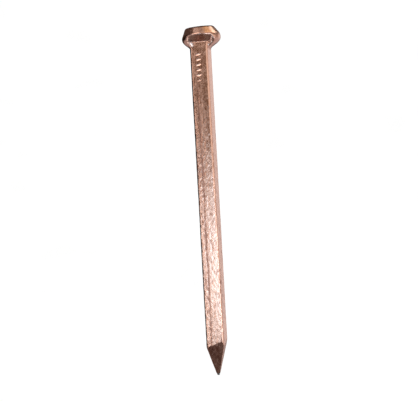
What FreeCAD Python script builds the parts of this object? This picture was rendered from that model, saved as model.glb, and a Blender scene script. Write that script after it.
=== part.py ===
"""A square-shanked wire nail of 2.5 inch, as a headed steel blank with a thin copper coat.

Millimetres. The nail's axis is Z, head up. The origin is the centre of the strike face on
the head, so the nail lies below it. The shank's four faces look along X and Y, and the
front face, which carries the gripper marks seen first, looks along -Y.
"""

import FreeCAD, Part
import math
import os

# Driving dimensions
NAIL_LENGTH = 63.5
SHANK_WIDTH = 3.33
SHANK_CORNER_RADIUS = 0.41
COAT_THICKNESS = 0.04

SHOULDER_RADIUS = 2.57
SHOULDER_ROUND = 0.62
RIM_RADIUS = 3.43
RIM_DROP = 1.49
CHEEK_RADIUS = 3.66
CHEEK_DROP = 2.6
CHEEK_ROUND = 1.15
NECK_DROP = 4.14
NECK_ROUND = 1.3
NECK_RUN_IN = 0.07
FACET_FOOT_DROP = 2.76
FACET_HALF_ANGLE = 48.0

POINT_FACE_HALF_ANGLE = 14.3
POINT_RIGHT_HALF_ANGLE = 13.5
POINT_LEFT_HALF_ANGLE = 16.4
POINT_TURN = 5.3
TIP_WIDTH = 0.43
BARE_TIP_LENGTH = 0.36

GRIP_COUNT = 6
GRIP_PITCH = 0.94
GRIP_FIRST_DROP = 5.04
GRIP_LENGTH = 1.1
GRIP_DEPTH = 0.11
GRIP_HALF_WIDTH = 0.21
GRIP_SLANT = 14.0

# Worked out from them
TIP_Z = -NAIL_LENGTH
HALF_SHANK = SHANK_WIDTH / 2
HALF_TIP = TIP_WIDTH / 2
NECK_RADIUS = HALF_SHANK - NECK_RUN_IN
REACH = 2 * CHEEK_RADIUS
PYRAMID_HEIGHT = NAIL_LENGTH - RIM_DROP
UP = FreeCAD.Vector(0, 0, 1)


def vec(x, y, z):
    return FreeCAD.Vector(x, y, z)


def turned(shape, angle, axis=UP):
    """A copy of shape turned by angle degrees about an axis through the origin."""
    copy = shape.copy()
    copy.rotate(vec(0, 0, 0), axis, angle)
    return copy


def inset_corners(corners, inset):
    """An open outline of (radius, z) corners, run top to bottom, moved into the metal by inset."""
    lines = []
    for (r0, z0), (r1, z1) in zip(corners, corners[1:]):
        length = math.hypot(r1 - r0, z1 - z0)
        along = ((r1 - r0) / length, (z1 - z0) / length)
        inward = (along[1], -along[0])
        lines.append(((r0 + inward[0] * inset, z0 + inward[1] * inset), along))
    moved = [lines[0][0]]
    for (start_a, along_a), (start_b, along_b) in zip(lines, lines[1:]):
        cross = along_a[0] * along_b[1] - along_a[1] * along_b[0]
        gap = (start_b[0] - start_a[0], start_b[1] - start_a[1])
        reach = (gap[0] * along_b[1] - gap[1] * along_b[0]) / cross
        moved.append((start_a[0] + along_a[0] * reach, start_a[1] + along_a[1] * reach))
    (last_r, last_z), along = lines[-1][0], lines[-1][1]
    length = math.hypot(corners[-1][0] - corners[-2][0], corners[-1][1] - corners[-2][1])
    moved.append((last_r + along[0] * length, last_z + along[1] * length))
    return moved


def rounded_edges(points, rounds):
    """Edges in the XZ plane through points, with an arc of the stated radius at each inner corner."""
    edges = []
    start = vec(points[0][0], 0, points[0][1])
    for before, corner, after, radius in zip(points, points[1:], points[2:], rounds):
        at = vec(corner[0], 0, corner[1])
        to_before = (vec(before[0], 0, before[1]) - at).normalize()
        to_after = (vec(after[0], 0, after[1]) - at).normalize()
        half = to_before.getAngle(to_after) / 2
        if radius == 0:
            edges.append(Part.makeLine(start, at))
            start = at
            continue
        cut_back = radius / math.tan(half)
        enter = at + to_before * cut_back
        leave = at + to_after * cut_back
        bisector = (to_before + to_after).normalize()
        middle = at + bisector * (radius / math.sin(half) - radius)
        edges.append(Part.makeLine(start, enter))
        edges.append(Part.Arc(enter, middle, leave).toShape())
        start = leave
    edges.append(Part.makeLine(start, vec(points[-1][0], 0, points[-1][1])))
    return edges


def rounded_square(half_width, corner_radius, z):
    """A closed wire of eight edges round the axis: four sides and four corner arcs."""
    flat = half_width - corner_radius
    diagonal = flat + corner_radius * math.cos(math.pi / 4)
    quarter = [
        Part.makeLine(vec(half_width, -flat, z), vec(half_width, flat, z)),
        Part.Arc(vec(half_width, flat, z), vec(diagonal, diagonal, z), vec(flat, half_width, z)).toShape(),
    ]
    return Part.Wire([turned(edge, 90 * side) for side in range(4) for edge in quarter])


def circle_of_eight(radius, half_width, corner_radius, z):
    """A circle split at the same bearings as the ends of a rounded square's sides."""
    bearing = math.atan2(half_width - corner_radius, half_width)
    stops = [-bearing, bearing, math.pi / 2 - bearing]
    quarter = []
    for low, high in zip(stops, stops[1:]):
        angles = (low, (low + high) / 2, high)
        start, middle, end = [vec(radius * math.cos(a), radius * math.sin(a), z) for a in angles]
        quarter.append(Part.Arc(start, middle, end).toShape())
    return Part.Wire([turned(edge, 90 * side) for side in range(4) for edge in quarter])


def upset_head(inset):
    """The head as a turned form: strike face, sloping rim, cheek and flared neck."""
    corners = [
        (0, 0),
        (SHOULDER_RADIUS, 0),
        (RIM_RADIUS, -RIM_DROP),
        (CHEEK_RADIUS, -CHEEK_DROP),
        (NECK_RADIUS, -NECK_DROP),
        (NECK_RADIUS, -NECK_DROP - 2 * NECK_ROUND),
    ]
    rounds = [SHOULDER_ROUND - inset, 0, CHEEK_ROUND - inset, NECK_ROUND + inset]
    points = inset_corners(corners, inset)
    edges = rounded_edges(points, rounds)
    top = vec(0, 0, points[0][1])
    foot = vec(0, 0, points[-1][1])
    edges.append(Part.makeLine(vec(points[-1][0], 0, points[-1][1]), foot))
    edges.append(Part.makeLine(foot, top))
    return Part.Face(Part.Wire(edges)).revolve(vec(0, 0, 0), UP, 360)


def cheek_sector(side, inset):
    """The wedge of space round +X or -X that the cheek and flared neck are kept in."""
    half_angle = math.radians(90 - FACET_HALF_ANGLE)
    apex = inset / math.sin(half_angle)
    spread = REACH * math.tan(half_angle)
    point = vec(apex, 0, 0)
    outline = [point, vec(apex + REACH, -spread, 0), vec(apex + REACH, spread, 0), point]
    wedge = Part.Face(Part.makePolygon(outline)).extrude(vec(0, 0, -REACH))
    return turned(wedge, 0 if side > 0 else 180)


def die_seat(inset):
    """The front and back of the head's underside: a round rim running down to the square shank."""
    corners = [
        (0, 0),
        (SHOULDER_RADIUS, 0),
        (RIM_RADIUS, -RIM_DROP),
        (HALF_SHANK, -FACET_FOOT_DROP),
        (HALF_SHANK, -NECK_DROP),
    ]
    rim, foot = inset_corners(corners, inset)[2:4]
    corner_radius = SHANK_CORNER_RADIUS - inset
    upper = circle_of_eight(rim[0], foot[0], corner_radius, rim[1])
    lower = rounded_square(foot[0], corner_radius, foot[1])
    return rim[1], Part.makeLoft([upper, lower], True, True)


def head(inset):
    turned_form = upset_head(inset)
    rim_z, seat = die_seat(inset)
    cap = turned_form.common(Part.makeCylinder(REACH, -rim_z, vec(0, 0, rim_z)))
    cheeks = [turned_form.common(cheek_sector(side, inset)) for side in (1, -1)]
    return cap.fuse([seat] + cheeks)


def shank(inset):
    """The rounded square wire, from inside the head to the end of the point."""
    start = -RIM_DROP
    section = rounded_square(HALF_SHANK - inset, SHANK_CORNER_RADIUS - inset, start)
    return Part.Face(section).extrude(vec(0, 0, TIP_Z - start))


def point_plane(half_angle, inset):
    """How far one face of the point stands from the axis, at the tip and at the pyramid's top."""
    slope = math.radians(half_angle)
    at_tip = HALF_TIP - inset / math.cos(slope)
    return at_tip, at_tip + PYRAMID_HEIGHT * math.tan(slope)


def point_pyramid(inset):
    """A four-faced pyramid round the point, steeper on the left and a little turned against the shank."""
    face, face_top = point_plane(POINT_FACE_HALF_ANGLE, inset)
    left, left_top = point_plane(POINT_LEFT_HALF_ANGLE, inset)
    right, right_top = point_plane(POINT_RIGHT_HALF_ANGLE, inset)
    narrow = (-left, 0, -face, -face_top, -left_top)
    wide = (right, PYRAMID_HEIGHT, face, face_top, right_top)
    upright = turned(Part.makeWedge(*narrow, *wide), 90, vec(1, 0, 0))
    upright.translate(vec(0, 0, TIP_Z))
    return turned(upright, POINT_TURN)


def grip_cutter(drop, inset):
    """A disc with a V edge that sinks a short slanted notch in the front face."""
    radius = GRIP_LENGTH**2 / (8 * GRIP_DEPTH) + GRIP_DEPTH / 2
    slope = GRIP_HALF_WIDTH / GRIP_DEPTH
    half_height = slope * radius / 2
    discs = [Part.makeCone(radius, radius / 2, half_height, vec(0, 0, 0), UP * way) for way in (1, -1)]
    disc = discs[0].fuse(discs[1])
    disc = turned(disc, -GRIP_SLANT, vec(0, 1, 0))
    disc.translate(vec(0, -(HALF_SHANK - inset - GRIP_DEPTH + radius), -drop))
    return disc


def grip_cutters(inset):
    """The notches on the front face, and the same ones on the back."""
    drops = [GRIP_FIRST_DROP + mark * GRIP_PITCH for mark in range(GRIP_COUNT)]
    front = [grip_cutter(drop, inset) for drop in drops]
    return front + [turned(cutter, 180) for cutter in front]


def nail_form(inset):
    """The whole nail as one solid, with every surface but the tip's end set in by inset."""
    wire = shank(inset).common(point_pyramid(inset)).cut(grip_cutters(inset))
    return wire.fuse(head(inset)).removeSplitter()


def steel_core():
    return nail_form(COAT_THICKNESS)


def copper_plating(core):
    """The coat over the core, ending a little above the tip, where driving bares the steel."""
    coated = vec(-REACH, -REACH, TIP_Z + BARE_TIP_LENGTH)
    box = Part.makeBox(2 * REACH, 2 * REACH, NAIL_LENGTH, coated)
    return nail_form(0).common(box).cut(core)


def only_solid(shape, name):
    if len(shape.Solids) != 1 or not shape.isValid():
        raise ValueError(f"{name} should be one valid solid, not {len(shape.Solids)}")
    return shape.Solids[0]


core = only_solid(steel_core(), "steel_core")
parts = {"steel_core": core, "copper_plating": only_solid(copper_plating(core), "copper_plating")}
os.makedirs("parts", exist_ok=True)
for node, shape in parts.items():
    shape.exportStep(f"parts/{node}.step")
    print(node, round(shape.Volume, 3), "mm3", shape.BoundBox)
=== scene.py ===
"""Looks for a copper-coated square-shanked nail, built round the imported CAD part.

Metres, in the part's own frame: the nail's axis is Z, head up, strike face at the top. Bearings
run round the axis from the front face (-Y) towards +X, so the front right corner is at 45 degrees.
A surface is a list of rings from the strike face down to the tip. A ring holds one point per
bearing, so every piece is a grid closed over itself.
"""

import bpy
import math
import numpy as np
from mathutils import Matrix, Vector, noise


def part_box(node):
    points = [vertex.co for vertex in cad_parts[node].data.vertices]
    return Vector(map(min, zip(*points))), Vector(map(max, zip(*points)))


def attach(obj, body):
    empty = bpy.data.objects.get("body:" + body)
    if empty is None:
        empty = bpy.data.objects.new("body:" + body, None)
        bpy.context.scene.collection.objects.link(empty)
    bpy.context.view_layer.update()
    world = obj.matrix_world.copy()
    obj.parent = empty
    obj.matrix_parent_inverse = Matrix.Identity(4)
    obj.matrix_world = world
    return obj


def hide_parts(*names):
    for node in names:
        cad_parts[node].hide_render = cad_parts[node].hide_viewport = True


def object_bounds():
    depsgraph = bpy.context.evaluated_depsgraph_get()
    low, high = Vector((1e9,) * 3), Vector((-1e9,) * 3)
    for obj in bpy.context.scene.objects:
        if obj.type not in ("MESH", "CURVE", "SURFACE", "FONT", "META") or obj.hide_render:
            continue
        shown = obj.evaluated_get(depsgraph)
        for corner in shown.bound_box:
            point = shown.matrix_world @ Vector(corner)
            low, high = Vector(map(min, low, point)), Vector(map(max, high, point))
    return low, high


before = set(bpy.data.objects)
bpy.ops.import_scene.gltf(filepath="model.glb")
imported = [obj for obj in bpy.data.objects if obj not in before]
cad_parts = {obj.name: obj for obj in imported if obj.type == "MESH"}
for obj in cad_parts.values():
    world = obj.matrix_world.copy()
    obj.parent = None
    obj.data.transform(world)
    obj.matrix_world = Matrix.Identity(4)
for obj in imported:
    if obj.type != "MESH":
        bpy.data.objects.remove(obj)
CAD_LOW, CAD_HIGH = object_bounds()

MM = 0.001

# Driving sizes, read from the frame
COAT_LOW, COAT_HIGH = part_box("copper_plating")
COAT_POINTS = np.array([v.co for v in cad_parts["copper_plating"].data.vertices])
TOP_Z = COAT_HIGH.z
TIP_Z = CAD_LOW.z
COAT_END_Z = COAT_LOW.z
LENGTH = TOP_Z - TIP_Z
HEAD_RADIUS = CAD_HIGH.x
SHANK_HALF = np.abs(COAT_POINTS[COAT_POINTS[:, 2] < TOP_Z - LENGTH / 3, 0]).max()

# The head, as shares of its radius
FACE_RADIUS = 0.725 * HEAD_RADIUS
SHOULDER_ROUND = 0.175 * HEAD_RADIUS
RIM_RADIUS = 0.98 * HEAD_RADIUS
RIM_Z = TOP_Z - 0.42 * HEAD_RADIUS
WALL_SLOPE = (RIM_RADIUS - FACE_RADIUS) / (TOP_Z - RIM_Z)
RIM_ROUND = 0.09 * HEAD_RADIUS
SEAT_RIM_ROUND = 0.13 * HEAD_RADIUS
CHEEK_RADIUS = 1.0 * HEAD_RADIUS
CHEEK_SLOPE = 1.41
CHEEK_ROUND = 0.261 * HEAD_RADIUS
NECK_Z = TOP_Z - 1.147 * HEAD_RADIUS
NECK_ROUND = 0.188 * HEAD_RADIUS
SEAT_FOOT_Z = TOP_Z - 0.779 * HEAD_RADIUS
SHARP_SIDE = (math.radians(46), math.radians(60))
SOFT_SIDE = (math.radians(14), math.radians(66))
FOLD_AT_RIM = math.radians(45)
FOLD_AT_FOOT = math.radians(53)
FOLD_WIDTH = math.radians(2.2)
FOLD_DEPTH = 0.01 * HEAD_RADIUS
HEAD_TILT = math.radians(3.5)
HEAD_SHIFT = 0.085 * HEAD_RADIUS
HEAD_LEAN_BEARING = math.radians(104)

# The shank and point, as shares of the shank's half width
CORNER_RADIUS = 0.246 * SHANK_HALF
TIP_HALF = 0.129 * SHANK_HALF
POINT_SLOPES = [math.tan(math.radians(angle)) for angle in (14.3, 13.5, 14.3, 16.4)]
POINT_TURN = math.radians(5.3)
POINT_TOP_Z = TIP_Z + (SHANK_HALF - TIP_HALF) / min(POINT_SLOPES)
POINT_EDGE_ROUND = 0.02 * MM
GRIP_COUNT = 6
GRIP_PITCH = 0.565 * SHANK_HALF
GRIP_FIRST_Z = TOP_Z - 3.03 * SHANK_HALF
GRIP_HALF_LENGTH = 0.29 * SHANK_HALF
GRIP_UPPER_WIDTH = 0.05 * SHANK_HALF
GRIP_LOWER_WIDTH = 0.09 * SHANK_HALF
GRIP_SHADE_WIDTH = 0.1 * SHANK_HALF
GRIP_DEPTH = 0.045 * SHANK_HALF
GRIP_SLANT = math.tan(math.radians(14))
GRIP_ASIDE = 0.06 * SHANK_HALF
GRIP_SHADE_RISE = 0.8
LAST_GRIP_STRENGTH = 0.45
ROLL_LINE = 0.3 * SHANK_HALF
ROLL_FALL = 0.05 * SHANK_HALF
ROLL_CROWN = 0.03 * SHANK_HALF
STREAK_WIDTH = 0.16 * SHANK_HALF
STREAK_WANDER = 0.15 * MM
STREAK_DEPTH = 0.02 * MM

# The drawn and dipped surface: (size across, size along, height) of each kind of unevenness
WAVES = (1.6 * MM, 3.2 * MM, 0.008 * MM)
DRAWN_LINES = (0.28 * MM, 3.5 * MM, 0.005 * MM)
BUMPS = (0.32 * MM, 0.8 * MM, 0.032 * MM)
PITS = (0.38 * MM, 0.8 * MM, 0.05 * MM)
PIT_THRESHOLD = 0.25
RELIEF_UNIT = 0.02 * MM
LEAST_ROUGH = 0.2
HEAD_ROUGH = 0.3
FACE_ROUGH = 0.55
POINT_SMOOTHING = 0.75
SEAT_BEAD_WIDTH = 0.1 * MM
SEAT_BEAD_HEIGHT = 0.02 * MM

# The coat's lining and the core under it
COAT_INSET = 0.05 * MM
CORE_GAP = 0.01 * MM
LINING_UNDER_GRIP = 1.3 * GRIP_DEPTH
LINED_CORE_END = COAT_END_Z + 0.3 * MM
BARE_TIP_START = COAT_END_Z + 0.25 * MM
BARE_TIP_END = TIP_Z + 0.03 * MM
BARE_TIP_SHARE = 0.8

# The grid, with the spacing of rings on the head, the neck, the shank and the point
BEARINGS = 132
CORNER_CROWDING = 0.5
CORE_BEARINGS = 72
COAT_STEPS = (0.045 * MM, 0.065 * MM, 0.13 * MM, 0.09 * MM)
LINING_STEPS = (0.25 * MM, 0.3 * MM, 2 * MM, 0.4 * MM)
FACE_RINGS = 18
SHOULDER_RINGS = 9
BARE_TIP_RINGS = 12


# ---------------------------------------------------------------- shape


def bearings(count):
    """Bearings all the way round, closer together at the shank's four corners."""
    even = np.arange(count) * 2 * math.pi / count
    return even + CORNER_CROWDING / 4 * np.sin(4 * even)


def smooth_step(low, high, value):
    t = np.clip((value - low) / (high - low), 0, 1)
    return t * t * (3 - 2 * t)


def smooth_min(a, b, blend):
    """The lower of a and b, rounded over where they cross."""
    h = np.clip(0.5 + (b - a) / (2 * blend), 0, 1)
    return b + (a - b) * h - blend * h * (1 - h)


def smooth_max(a, b, blend):
    return -smooth_min(-a, -b, blend)


def square_radius(turn):
    """How far the rounded square shank reaches from the axis at each bearing."""
    off_face = np.abs((turn + math.pi / 4) % (math.pi / 2) - math.pi / 4)
    inner = SHANK_HALF - CORNER_RADIUS
    along = inner * (np.cos(off_face) + np.sin(off_face))
    arc = along + np.sqrt(np.maximum(along**2 - 2 * inner**2 + CORNER_RADIUS**2, 0))
    return np.where(off_face < math.atan2(inner, SHANK_HALF), SHANK_HALF / np.cos(off_face), arc)


def point_radius(turn, z):
    """How far the four-faced pyramid of the point reaches at height z."""
    reach = np.full(turn.shape, 10 * HEAD_RADIUS)
    for face, slope in enumerate(POINT_SLOPES):
        facing = np.cos(turn - POINT_TURN - face * math.pi / 2)
        plane = (TIP_HALF + (z - TIP_Z) * slope) / np.maximum(facing, 0.01)
        reach = np.where(facing > 0.3, smooth_min(reach, plane, POINT_EDGE_ROUND), reach)
    return reach


def cheek_radius(z):
    """The round sides of the head's underside: down the cheek, then in to the neck."""
    under = SHANK_HALF + (z - NECK_Z) * CHEEK_SLOPE
    return smooth_min(CHEEK_RADIUS, under, CHEEK_ROUND)


def cheek_share(turn, up):
    """0 on the flat seats at front and back, 1 on the cheeks, with one sharp and one soft side each.

    The sharp side follows the fold, which slants with up, from 0 at the seat's foot to 1 at the rim.
    """
    off_front = np.abs((turn + math.pi / 2) % math.pi - math.pi / 2)
    sharp = smooth_step(*SHARP_SIDE, off_front + (FOLD_AT_FOOT - FOLD_AT_RIM) * min(up, 1))
    soft = smooth_step(*SOFT_SIDE, off_front)
    return np.where(np.sin(2 * turn) > 0, sharp, soft)


def body_radius(turn, z):
    """The nail's surface from the shoulder down to the tip."""
    shank = square_radius(turn)
    if z < POINT_TOP_Z + 2 * MM:
        shank = smooth_min(shank, point_radius(turn, z), POINT_EDGE_ROUND)
    if z < NECK_Z - 2 * MM:
        return shank
    up = max(0, (z - SEAT_FOOT_Z) / (RIM_Z - SEAT_FOOT_Z))
    wall = FACE_RADIUS + (TOP_Z - z) * WALL_SLOPE
    seat = smooth_min(shank + (RIM_RADIUS - shank) * up, wall, SEAT_RIM_ROUND)
    cheek = smooth_min(smooth_max(shank, cheek_radius(z), NECK_ROUND), wall, RIM_ROUND)
    return seat + (np.maximum(cheek, seat) - seat) * cheek_share(turn, up)


def meridian(head_step, neck_step, shank_step, point_step):
    """(z, radius or None) for every ring, top to bottom. None means that the body gives the radius."""
    turn = math.pi / 2 - math.atan(WALL_SLOPE)
    flat_end = FACE_RADIUS - SHOULDER_ROUND * math.tan(turn / 2)
    rings = [(TOP_Z, flat_end * share) for share in np.linspace(0.04, 0.95, FACE_RINGS)]
    for angle in np.linspace(0, turn, SHOULDER_RINGS):
        z = TOP_Z - SHOULDER_ROUND * (1 - math.cos(angle))
        rings.append((z, flat_end + SHOULDER_ROUND * math.sin(angle)))
    spans = [
        (rings[-1][0], SEAT_FOOT_Z, head_step),
        (SEAT_FOOT_Z, TOP_Z - 3 * HEAD_RADIUS, neck_step),
        (TOP_Z - 3 * HEAD_RADIUS, POINT_TOP_Z + MM, shank_step),
        (POINT_TOP_Z + MM, COAT_END_Z, point_step),
    ]
    for high, low, step in spans:
        count = round((high - low) / step)
        rings.extend((z, None) for z in np.linspace(high, low, count + 1)[1:])
    return rings


def head_lean(points):
    """The head as struck: a little off centre, with its strike face a little out of square."""
    aside = np.array([math.sin(HEAD_LEAN_BEARING), -math.cos(HEAD_LEAN_BEARING), 0])
    share = smooth_step(NECK_Z, RIM_Z, points[..., 2]) * smooth_step(TOP_Z, RIM_Z, points[..., 2])
    tilt = smooth_step(RIM_Z - 0.2 * HEAD_RADIUS, TOP_Z, points[..., 2])
    lifted = points[..., 2] + (points @ aside) * math.tan(HEAD_TILT) * tilt
    moved = points + HEAD_SHIFT * share[..., None] * aside
    moved[..., 2] = lifted
    return moved


def roll_fall(points):
    """The shank's front face as rolled: both sides fall away a little, the left third more."""
    beyond = np.clip((-points[..., 0] - ROLL_LINE) / (SHANK_HALF - ROLL_LINE), 0, 1)
    forward = np.clip(-points[..., 1] / SHANK_HALF, 0, 1)
    lower = smooth_step(TOP_Z - 0.2 * LENGTH, TOP_Z - 0.4 * LENGTH, points[..., 2])
    right = np.clip(points[..., 0] / SHANK_HALF, 0, 1)
    points[..., 1] += (ROLL_FALL * beyond * lower + ROLL_CROWN * right**2) * forward
    return points


def rings_to_points(rings, turn):
    """An array of rings by bearings by xyz."""
    rows = []
    for z, radius in rings:
        reach = body_radius(turn, z) if radius is None else np.full(turn.shape, radius)
        ring = [reach * np.sin(turn), -reach * np.cos(turn), np.full(turn.shape, z)]
        rows.append(np.stack(ring, axis=-1))
    return roll_fall(np.array(rows))


# ---------------------------------------------------------------- relief


def grain(points, across, along, seed):
    """Smooth noise from about -1 to 1 over an array of points, with features of the stated sizes."""
    flat = points.reshape(-1, 3) / np.array((across, across, along)) + seed * 17.3
    values = [noise.noise(p) for p in flat]
    return np.array(values).reshape(points.shape[:-1])


def grip_marks(points):
    """The slanted notches on the front and back faces: how deep, and how much painted shade lies above
    each, from 0 to 1.
    """
    depth = np.zeros(points.shape[:-1])
    shade = np.zeros(points.shape[:-1])
    for side in (-1, 1):
        across = (points[..., 0] * -side + GRIP_ASIDE) / GRIP_HALF_LENGTH
        on_face = points[..., 1] * side > 0.8 * SHANK_HALF
        for mark in range(GRIP_COUNT):
            strength = 1.0 if mark < GRIP_COUNT - 1 else LAST_GRIP_STRENGTH
            middle_z = GRIP_FIRST_Z - mark * GRIP_PITCH
            off_line = points[..., 2] - middle_z - across * GRIP_HALF_LENGTH * GRIP_SLANT
            fall = np.where(off_line > 0, off_line / GRIP_UPPER_WIDTH, -off_line / GRIP_LOWER_WIDTH)
            along = np.clip(1 - across**4, 0, 1)
            above = np.clip(1 - np.abs(off_line / GRIP_SHADE_WIDTH - GRIP_SHADE_RISE), 0, 1)
            depth = np.maximum(depth, np.where(on_face, np.clip(along - fall, 0, 1) * strength, 0))
            shade = np.maximum(shade, np.where(on_face, above * along * strength, 0))
    return depth, shade


def outward(points):
    """Unit normals of a ring grid that is closed round the bearings."""
    round_way = np.roll(points, -1, axis=1) - np.roll(points, 1, axis=1)
    down_way = np.gradient(points, axis=0)
    normal = np.cross(down_way, round_way)
    return normal / np.maximum(np.linalg.norm(normal, axis=-1, keepdims=True), 1e-12)


def rough_share(points):
    """0 on the smoother head, 1 on the grainy left third of the front face's lower part."""
    low = smooth_step(TOP_Z - 0.1 * LENGTH, TOP_Z - 0.4 * LENGTH, points[..., 2])
    left = smooth_step(0, -2 * ROLL_LINE, points[..., 0])
    point = smooth_step(POINT_TOP_Z - 0.5 * MM, POINT_TOP_Z - 2 * MM, points[..., 2])
    return low * (FACE_ROUGH + (1 - FACE_ROUGH) * left) * (1 - POINT_SMOOTHING * point)


def roll_groove_and_painted_shade(points):
    """1 along the line down the front face where its left third starts to fall away: a shallow groove
    in the coat, with painted shade along it in the material.
    """
    wander = grain(points * np.array([0, 0, 1]), MM, 4 * MM, 6) * STREAK_WANDER
    off_line = np.abs(points[..., 0] + ROLL_LINE + wander)
    front = points[..., 1] < -0.7 * SHANK_HALF
    length = smooth_step(GRIP_FIRST_Z - 4 * GRIP_PITCH, GRIP_FIRST_Z - 8 * GRIP_PITCH, points[..., 2])
    return np.where(front, np.clip(1 - off_line / STREAK_WIDTH, 0, 1), 0) * length


def fold(points):
    """The thin fold where the seat meets the cheek on its sharp side: a groove with a raised lip."""
    x, y, z = points[..., 0], points[..., 1], points[..., 2]
    up = (z - SEAT_FOOT_Z) / (RIM_Z - SEAT_FOOT_Z)
    turn = np.arctan2(np.abs(x), np.abs(y))
    off = (turn - FOLD_AT_FOOT - (FOLD_AT_RIM - FOLD_AT_FOOT) * up) / FOLD_WIDTH
    groove = np.exp(-((off + 0.8) ** 2)) - np.exp(-((off - 0.8) ** 2))
    length = smooth_step(-0.1, 0.15, up) * smooth_step(1.0, 0.8, up)
    return np.where(x * y < 0, -FOLD_DEPTH * groove * length, 0)


def seat_bead(points):
    """The small bead across the front and back faces, just under the foot of each seat."""
    off_line = (points[..., 2] - SEAT_FOOT_Z) / SEAT_BEAD_WIDTH + 1.5
    across = np.abs(points[..., 0]) < SHANK_HALF
    return np.where(across, np.exp(-(off_line**2)) * SEAT_BEAD_HEIGHT, 0)


def unevenness(points, kind, seed, threshold=None):
    """Grain of one kind in metres, or only what stands above a threshold."""
    across, along, height = kind
    values = grain(points, across, along, seed)
    if threshold is not None:
        values = np.clip(values - threshold, 0, 1)
    return values * height


def relief(points):
    """How far each point of the coat is moved outwards, in metres."""
    below_head = smooth_step(SEAT_FOOT_Z, SEAT_FOOT_Z - 0.5 * MM, points[..., 2])
    rough = LEAST_ROUGH + (1 - LEAST_ROUGH) * rough_share(points)
    rough = rough * (HEAD_ROUGH + (1 - HEAD_ROUGH) * below_head)
    raised = unevenness(points, WAVES, 1) + unevenness(points, DRAWN_LINES, 2) * below_head
    raised = raised + unevenness(points, BUMPS, 3) * rough
    raised = raised - unevenness(points, PITS, 4, PIT_THRESHOLD) * rough
    return raised + seat_bead(points) + fold(points) - STREAK_DEPTH * roll_groove_and_painted_shade(points)


# ---------------------------------------------------------------- pieces


def grid_mesh(name, points, cap_top, cap_bottom):
    """A mesh from a ring grid, with a fan at each end that is asked for."""
    rows, columns = points.shape[:2]
    vertices = points.reshape(-1, 3).tolist()
    faces = []
    for row in range(rows - 1):
        for column in range(columns):
            after = (column + 1) % columns
            a, b = row * columns + column, row * columns + after
            faces.append((a, a + columns, b + columns, b))
    for wanted, row, flip in ((cap_top, 0, False), (cap_bottom, rows - 1, True)):
        if not wanted:
            continue
        vertices.append(points[row].mean(axis=0).tolist())
        centre = len(vertices) - 1
        for column in range(columns):
            a = row * columns + column
            b = row * columns + (column + 1) % columns
            faces.append((centre, b, a) if flip else (centre, a, b))
    mesh = bpy.data.meshes.new(name)
    mesh.from_pydata(vertices, [], faces)
    mesh.validate()
    mesh.update()
    mesh.shade_smooth()
    obj = bpy.data.objects.new(name, mesh)
    bpy.context.scene.collection.objects.link(obj)
    return obj


def add_values(obj, name, values):
    """A number per vertex that the material reads; fan centres take 0."""
    data = np.zeros(len(obj.data.vertices), np.float32)
    data[: values.size] = values.ravel()
    obj.data.attributes.new(name, "FLOAT", "POINT").data.foreach_set("value", data)


def lining_depth(points):
    """How deep the coat's inner side lies, deeper than the gripper marks along the shank."""
    return COAT_INSET + LINING_UNDER_GRIP * smooth_step(COAT_END_Z + MM, POINT_TOP_Z, points[..., 2])


def make_coat():
    turn = bearings(BEARINGS)
    plain = rings_to_points(meridian(*COAT_STEPS), turn)
    marks, shade = grip_marks(plain)
    moved = relief(plain)
    outer = head_lean(plain + outward(plain) * (moved - marks * GRIP_DEPTH)[..., None])
    inner = rings_to_points(meridian(*LINING_STEPS), turn)
    inner = head_lean(inner - outward(inner) * lining_depth(inner)[..., None])
    inner[:, :, 2] = np.maximum(inner[:, :, 2], COAT_END_Z)
    coat = grid_mesh("copper_coat", np.concatenate([outer, inner[::-1]]), True, True)
    lining = np.zeros(inner.shape[:2])
    values = {
        # the painted shade above each grip notch, which the material darkens
        "marks": shade,
        "relief": moved / RELIEF_UNIT,
        "rough": rough_share(plain),
        "streak": roll_groove_and_painted_shade(plain),
    }
    for name, value in values.items():
        add_values(coat, name, np.concatenate([value, lining]))
    return coat


def make_core():
    turn = bearings(CORE_BEARINGS)
    rings = [ring for ring in meridian(*LINING_STEPS) if ring[0] > LINED_CORE_END]
    tip = [(z, None) for z in np.linspace(BARE_TIP_START, BARE_TIP_END, BARE_TIP_RINGS)]
    plain = rings_to_points(rings + tip, turn)
    points = head_lean(plain - outward(plain) * (lining_depth(plain) + CORE_GAP)[..., None])
    end = points[-1] * BARE_TIP_SHARE
    end[:, 2] = TIP_Z
    return grid_mesh("steel_wire", np.concatenate([points, end[None]]), True, True)


# ---------------------------------------------------------------- materials


class Nodes:
    """A short way to write the node tree of a material or a world."""

    def __init__(self, owner):
        owner.use_nodes = True
        self.owner = owner
        self.tree = owner.node_tree

    def add(self, kind, inputs=None, **settings):
        node = self.tree.nodes.new("ShaderNode" + kind)
        for key, value in settings.items():
            setattr(node, key, value)
        for key, value in (inputs or {}).items():
            self.feed(node.inputs[key], value)
        return node

    def feed(self, socket, value):
        if isinstance(value, bpy.types.NodeSocket):
            self.tree.links.new(value, socket)
        else:
            socket.default_value = value

    def maths(self, operation, a, b=0.0):
        return self.add("Math", {0: a, 1: b}, operation=operation).outputs[0]

    def remap(self, value, from_low, from_high, to_low, to_high):
        inputs = {1: from_low, 2: from_high, 3: to_low, 4: to_high}
        node = self.add("MapRange", inputs)
        self.feed(node.inputs["Value"], value)
        return node.outputs[0]

    def mix(self, share, a, b):
        node = self.add("Mix", data_type="RGBA")
        self.feed(node.inputs[0], share)
        self.feed(node.inputs[6], a)
        self.feed(node.inputs[7], b)
        return node.outputs[2]

    def noise(self, scale, detail, stretch=(1, 1, 1), roughness=0.5):
        place = self.add("TexCoord").outputs["Object"]
        stretched = self.add("VectorMath", {0: place, 1: stretch}, operation="MULTIPLY").outputs[0]
        inputs = {"Vector": stretched, "Scale": scale, "Detail": detail, "Roughness": roughness}
        return self.add("TexNoise", inputs).outputs["Fac"]

    def value(self, name):
        return self.add("Attribute", attribute_name=name).outputs["Fac"]


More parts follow.
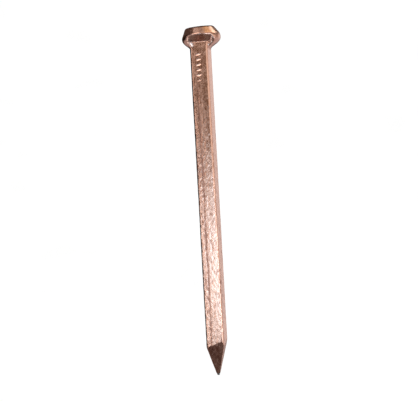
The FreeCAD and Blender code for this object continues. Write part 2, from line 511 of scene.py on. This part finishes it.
def material_nodes(name):
    """The node tree of a new material, and its main shader's inputs."""
    n = Nodes(bpy.data.materials.new(name))
    return n, n.tree.nodes["Principled BSDF"].inputs


COPPER_BRIGHT = (0.84, 0.51, 0.39, 1)
COPPER_MID = (0.72, 0.40, 0.29, 1)
# The dark copper of the random specks, and of the painted shade in the pits, above the grip notches
# and along the groove.
COPPER_SPECKS_AND_SHADE = (0.36, 0.17, 0.12, 1)
STEEL_DARK = (0.34, 0.32, 0.31, 1)
STEEL_LIGHT = (0.58, 0.56, 0.54, 1)


def copper():
    n, shader = material_nodes("copper_coat")
    rough = n.value("rough")
    mottle = n.noise(2600, 4, (1, 1, 0.6))
    speck = n.noise(3400, 3, (1, 1, 0.5))
    streak = n.noise(1500, 2, (1, 1, 0.06))
    colour = n.mix(n.remap(mottle, 0.35, 0.65, 0, 1), COPPER_MID, COPPER_BRIGHT)
    # Painted shade in the pits of the relief, mixed with random dark specks of the grain. The specks
    # are densest on the left third of the lower front face, partly painting in that third's shade.
    hollow = n.remap(n.value("relief"), -0.2, -1.2, 0, 1)
    spots = n.maths("MULTIPLY", n.remap(speck, 0.55, 0.68, 0, 1), n.remap(rough, 0, 1, 0.08, 0.75))
    colour = n.mix(n.maths("MAXIMUM", hollow, spots), colour, COPPER_SPECKS_AND_SHADE)
    # Painted shade: each grip notch is darkened just above its line, standing in for the shadow of its
    # upper side.
    colour = n.mix(n.maths("MULTIPLY", n.value("marks"), 0.9), colour, COPPER_SPECKS_AND_SHADE)
    # Painted shade along the shallow groove where the front face's left third starts to fall away.
    line = n.maths("MULTIPLY", n.value("streak"), n.remap(speck, 0.35, 0.6, 0.2, 0.9))
    colour = n.mix(line, colour, COPPER_SPECKS_AND_SHADE)
    roughness = n.remap(mottle, 0.3, 0.7, 0.2, 0.32)
    roughness = n.maths("ADD", roughness, n.remap(streak, 0.3, 0.7, -0.04, 0.04))
    roughness = n.maths("ADD", roughness, n.maths("MULTIPLY", hollow, 0.15))
    height = n.maths("MULTIPLY", speck, n.remap(rough, 0, 1, 0.1, 1.0))
    height = n.maths("ADD", height, n.maths("MULTIPLY", streak, 0.4))
    bump = n.add("Bump", {"Height": height, "Strength": 0.7, "Distance": 0.12 * MM})
    n.feed(shader["Base Color"], colour)
    n.feed(shader["Metallic"], 1.0)
    n.feed(shader["Roughness"], roughness)
    n.feed(shader["Normal"], bump.outputs[0])
    return n.owner


def steel():
    n, shader = material_nodes("core_steel")
    scuff = n.noise(4200, 3)
    colour = n.mix(n.remap(scuff, 0.35, 0.65, 0, 1), STEEL_DARK, STEEL_LIGHT)
    bump = n.add("Bump", {"Height": scuff, "Strength": 0.3, "Distance": 0.02 * MM})
    n.feed(shader["Base Color"], colour)
    n.feed(shader["Metallic"], 1.0)
    n.feed(shader["Roughness"], n.remap(scuff, 0.3, 0.7, 0.3, 0.45))
    n.feed(shader["Normal"], bump.outputs[0])
    return n.owner


# ---------------------------------------------------------------- stage, light and camera

CAMERA_BEARING = math.radians(14)
CAMERA_DISTANCE = 5.72 * LENGTH
CAMERA_ROLL = math.radians(3.2)
PICTURE_WIDTH = 1.2 * LENGTH
MIDDLE = Vector((0, 0, (TOP_Z + TIP_Z) / 2))
FLOOR_Z = TIP_Z - 0.25 * LENGTH
SWEEP_RADIUS = 12 * LENGTH
SWEEP_BEND = 6 * LENGTH
SWEEP_HEIGHT = 36 * LENGTH
SWEEP_RINGS = 17
SWEEP_SIDES = 96
SWEEP_SHADE = 0.06
SWEEP_GLOW = 0.99


# The room round the nail: (bearing, half width, lowest and highest elevation in degrees, colour).
# Later ones cover earlier ones.
ROOM = [
    (-110, 80, -60, -12, (0.44, 0.41, 0.45)),
    (90, 85, -60, -12, (0.60, 0.56, 0.60)),
    (90, 70, -12, 40, (0.42, 0.33, 0.29)),
    (0, 180, -95, -56, (0.16, 0.14, 0.13)),
    (0, 50, -80, -17, (0.24, 0.20, 0.20)),
    (2, 29, -80, -17, (0.08, 0.055, 0.05)),
    (180, 90, 20, 84, (0.10, 0.08, 0.07)),
    (-122, 58, 14, 70, (0.09, 0.07, 0.065)),
    (0, 60, 44, 66, (0.36, 0.33, 0.32)),
    (14, 42, 44, 66, (0.72, 0.70, 0.69)),
    (84, 36, 40, 66, (1.15, 0.95, 0.62)),
    (127, 15, 33, 50, (3.0, 3.1, 2.9)),
    (154, 20, -14, 16, (0.95, 0.93, 0.95)),
    (-112, 70, -22, 12, (0.01, 0.008, 0.006)),
    (-29, 3, -13, 13, (1.7, 1.6, 1.55)),
    (20, 28, -14, 16, (0.27, 0.20, 0.14)),
    (61, 43, -9, 14, (1.1, 1.05, 1.0)),
    (-22, 22, 19, 46, (3.3, 3.3, 3.3)),
]
ROOM_BASE = (0.13, 0.09, 0.06)
ROOM_EDGE = 5


def room_patch(n, flat_way, height, patch):
    """How much of a patch of the room is seen in each direction, from 0 to 1."""
    bearing, half_width, low, high, _ = patch
    if half_width < 180:
        turn = math.radians(bearing)
        inputs = {0: flat_way, 1: (math.sin(turn), -math.cos(turn), 0)}
        facing = n.add("VectorMath", inputs, operation="DOT_PRODUCT").outputs["Value"]
        outer = math.cos(math.radians(half_width + ROOM_EDGE))
        inner = math.cos(math.radians(half_width - ROOM_EDGE))
        share = n.remap(facing, outer, inner, 0, 1)
    else:
        share = 1.0
    rising = n.remap(height, low - ROOM_EDGE, low + ROOM_EDGE, 0, 1)
    falling = n.remap(height, high + ROOM_EDGE, high - ROOM_EDGE, 0, 1)
    return n.maths("MULTIPLY", n.maths("MULTIPLY", rising, falling), share)


def make_world():
    """Dark flags and light cards all round, seen only as reflections in the metal."""
    world = bpy.data.worlds.new("studio")
    n = Nodes(world)
    way = n.add("TexCoord").outputs["Generated"]
    flat = n.add("VectorMath", {0: way, 1: (1, 1, 0)}, operation="MULTIPLY").outputs[0]
    flat_way = n.add("VectorMath", {0: flat}, operation="NORMALIZE").outputs[0]
    rise = n.add("SeparateXYZ", {0: way}).outputs["Z"]
    height = n.maths("MULTIPLY", n.maths("ARCSINE", rise), math.degrees(1))
    colour = ROOM_BASE + (1,)
    for patch in ROOM:
        colour = n.mix(room_patch(n, flat_way, height, patch), colour, patch[-1] + (1,))
    n.feed(n.tree.nodes["Background"].inputs["Color"], colour)
    bpy.context.scene.world = world


def glowing_paper(name, base, glow):
    """A dull grey that glows evenly, so that it stays just white whatever light falls on it."""
    n, shader = material_nodes(name)
    dust = n.remap(n.noise(40, 2), 0.3, 0.7, 0, 1)
    n.feed(shader["Base Color"], n.mix(dust, (base, base, base, 1), (0, 0, 0, 1)))
    n.feed(shader["Roughness"], 0.9)
    n.feed(shader["Emission Color"], (1, 1, 1, 1))
    n.feed(shader["Emission Strength"], glow)
    return n.owner


def make_sweep():
    """A pale floor that curves up into a wall all the way round."""
    flat = SWEEP_RADIUS - SWEEP_BEND
    outline = []
    for angle in np.linspace(0, math.pi / 2, SWEEP_RINGS):
        z = FLOOR_Z + SWEEP_BEND * (1 - math.cos(angle))
        outline.append((flat + SWEEP_BEND * math.sin(angle), z))
    outline.append((SWEEP_RADIUS, FLOOR_Z + SWEEP_HEIGHT))
    turn = np.arange(SWEEP_SIDES) * 2 * math.pi / SWEEP_SIDES
    rows = [[r * np.sin(turn), -r * np.cos(turn), np.full(turn.shape, z)] for r, z in outline]
    sweep = grid_mesh("sweep", np.moveaxis(np.array(rows), 1, -1), True, False)
    sweep.data.materials.append(glowing_paper("pale_sweep", SWEEP_SHADE, SWEEP_GLOW))
    sweep.visible_glossy = False


# Tints of the near cards
NEUTRAL = (0.85, 1.0, 1.1)
COOL = (0.73, 1.0, 1.19)
COLD = (0.61, 1.0, 1.43)

# Cards near the nail: (bearing, low and high edge above the tip in nail lengths, width in nail
# lengths, radiance, colour). They overlap low in front, so that the glow fades in down the nail.
CARDS = [
    (-5, -0.10, 0.63, 0.46, 0.55, COOL),
    (-5, -0.10, 0.55, 0.46, 0.52, COOL),
    (-5, 0.05, 0.45, 0.50, 0.50, COOL),
    (-5, 0.12, 0.35, 0.50, 0.42, COOL),
    (6, 0.13, 0.49, 0.46, 2.25, COLD),
    (54, -0.10, 0.50, 0.50, 2.30, COOL),
    (50, 0.08, 0.46, 0.40, 1.10, COLD),
    (-42, -0.10, 0.48, 0.36, 2.00, NEUTRAL),
]
CARD_DISTANCE = 1.1 * LENGTH
CARD_SPACING = 0.01 * LENGTH


def light_card(name, bearing, distance, low_z, high_z, width, radiance, colour):
    """A glowing upright card near the nail, facing its axis."""
    data = bpy.data.lights.new(name, "AREA")
    data.shape = "RECTANGLE"
    data.size = width
    data.size_y = high_z - low_z
    data.energy = radiance * math.pi * width * (high_z - low_z)
    data.color = colour
    lamp = bpy.data.objects.new(name, data)
    turn = math.radians(bearing)
    middle = (low_z + high_z) / 2
    lamp.location = (distance * math.sin(turn), -distance * math.cos(turn), middle)
    lamp.rotation_euler = (Vector((0, 0, middle)) - lamp.location).to_track_quat("-Z", "Y").to_euler()
    lamp.visible_camera = False
    bpy.context.scene.collection.objects.link(lamp)


def make_cards():
    for index, (bearing, low, high, width, radiance, colour) in enumerate(CARDS):
        name = f"near_card_{index}"
        low_z = TIP_Z + low * LENGTH
        high_z = TIP_Z + high * LENGTH
        distance = CARD_DISTANCE + index * CARD_SPACING
        light_card(name, bearing, distance, low_z, high_z, width * LENGTH, radiance, colour)


def make_camera():
    data = bpy.data.cameras.new("camera")
    data.sensor_width = 36.0
    data.lens = data.sensor_width * CAMERA_DISTANCE / PICTURE_WIDTH
    data.clip_start = 0.01
    data.clip_end = 100
    camera = bpy.data.objects.new("camera", data)
    back = Vector((math.sin(CAMERA_BEARING), -math.cos(CAMERA_BEARING), 0))
    camera.location = MIDDLE + back * CAMERA_DISTANCE
    facing = (-back).to_track_quat("-Z", "Y").to_matrix().to_4x4()
    camera.rotation_euler = (facing @ Matrix.Rotation(-CAMERA_ROLL, 4, "Z")).to_euler()
    bpy.context.scene.collection.objects.link(camera)
    bpy.context.scene.camera = camera


coat = make_coat()
coat.data.materials.append(copper())
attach(coat, "root")
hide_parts("copper_plating")

core = make_core()
core.data.materials.append(steel())
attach(core, "root")
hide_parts("steel_core")

make_sweep()
make_world()
make_cards()
make_camera()

bpy.context.scene.view_settings.view_transform = "Standard"
